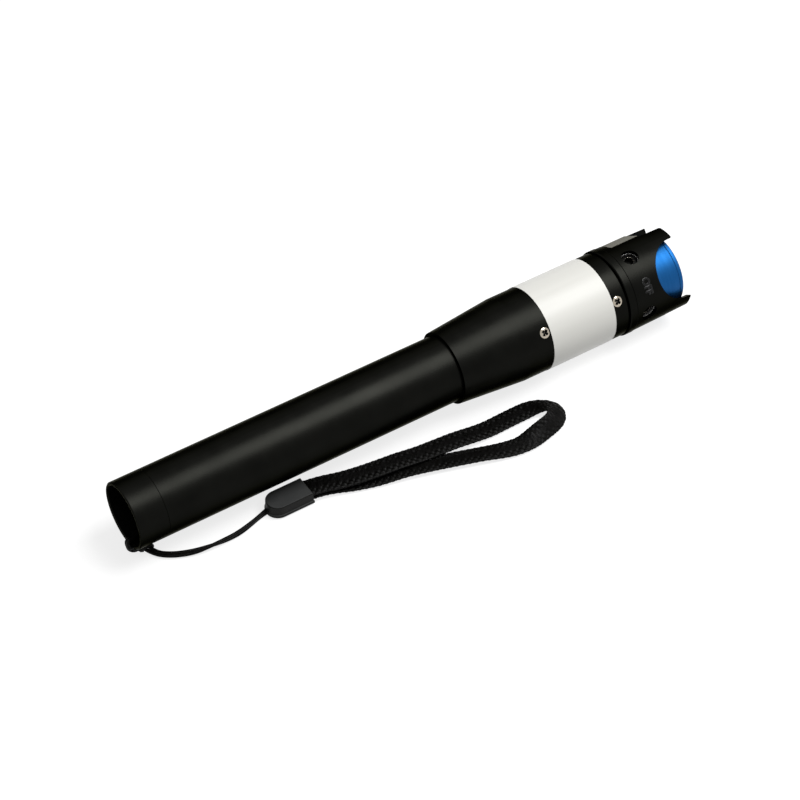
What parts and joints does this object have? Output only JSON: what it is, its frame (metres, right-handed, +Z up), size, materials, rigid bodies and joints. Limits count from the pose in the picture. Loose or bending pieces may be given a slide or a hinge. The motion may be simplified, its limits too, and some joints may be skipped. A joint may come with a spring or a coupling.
{
  "type": "visual fault locator",
  "caption": "Black pen-shaped visual fault locator lying on its side, with a scalloped selector crown over a blue sleeve and a braided wrist strap tied to its tail cap.",
  "frame": {"origin": "Under the middle of the pen's length, on the surface it lies on", "axes": "X along the pen from the tail cap to the lit end, Z up, Y level across it"},
  "size_m": [0.1871, 0.0454, 0.0272],
  "materials": {
    "black_anodised": "satin",
    "machined_aluminium": "satin",
    "blue_anodised": "satin",
    "white_film": "matte",
    "grey_film": "matte",
    "nickel_steel": "satin",
    "spring_steel": "polished",
    "contact_brass": "satin",
    "seal_rubber": "matte",
    "board_green": "satin",
    "chip_black": "matte",
    "cell_jacket": "gloss",
    "lens_glass": "polished",
    "zirconia_white": "polished",
    "braid_black": "matte",
    "moulded_grey": "matte"
  },
  "bodies": {
    "pen": {"battery_barrel": "black_anodised", "battery_rear": "cell_jacket", "battery_front": "cell_jacket", "front_contact": "contact_brass", "head_sleeve": "black_anodised", "body_label": "white_film", "sleeve_screws": "nickel_steel", "contact_board": "board_green", "head_core": "machined_aluminium", "driver_board": "board_green", "driver_chip": "chip_black", "laser_housing": "contact_brass", "laser_diode": "nickel_steel", "focusing_lens": "lens_glass", "lens_retainer": "contact_brass", "ferrule_holder": "nickel_steel", "ferrule_sleeve": "zirconia_white", "blue_shroud": "blue_anodised", "crown_seal": "seal_rubber", "switch_board": "board_green", "friction_washer": "spring_steel"},
    "crown": {"selector_crown": "black_anodised", "selector_ring": "machined_aluminium", "crown_set_screws": "nickel_steel", "contact_wiper": "contact_brass", "crown_label": "grey_film"},
    "cap_carrier": {"tail_contact": "contact_brass", "tail_spring": "spring_steel"},
    "tail_cap": {"tail_cap": "black_anodised", "cap_seal": "seal_rubber", "strap_cord": "braid_black", "strap_knot": "braid_black", "strap_slider": "moulded_grey", "strap_webbing": "braid_black"}
  },
  "joints": [
    {"name": "crown_turn", "type": "hinge", "parent": "pen", "child": "crown", "pos_m": [0.0777, 0, 0.0136], "axis": [1, 0, 0], "range_deg": [0, 90]},
    {"name": "cap_travel", "type": "slide", "parent": "pen", "child": "cap_carrier", "axis": [-1, 0, 0], "range_m": [0, 0.004]},
    {"name": "cap_turn", "type": "hinge", "parent": "cap_carrier", "child": "tail_cap", "pos_m": [-0.083, 0, 0.0136], "axis": [-1, 0, 0], "range_deg": [0, 1440]}
  ],
  "couplings": [
    {"joint": "cap_travel", "follows": "cap_turn", "m_per_rad": 0.00015915}
  ]
}
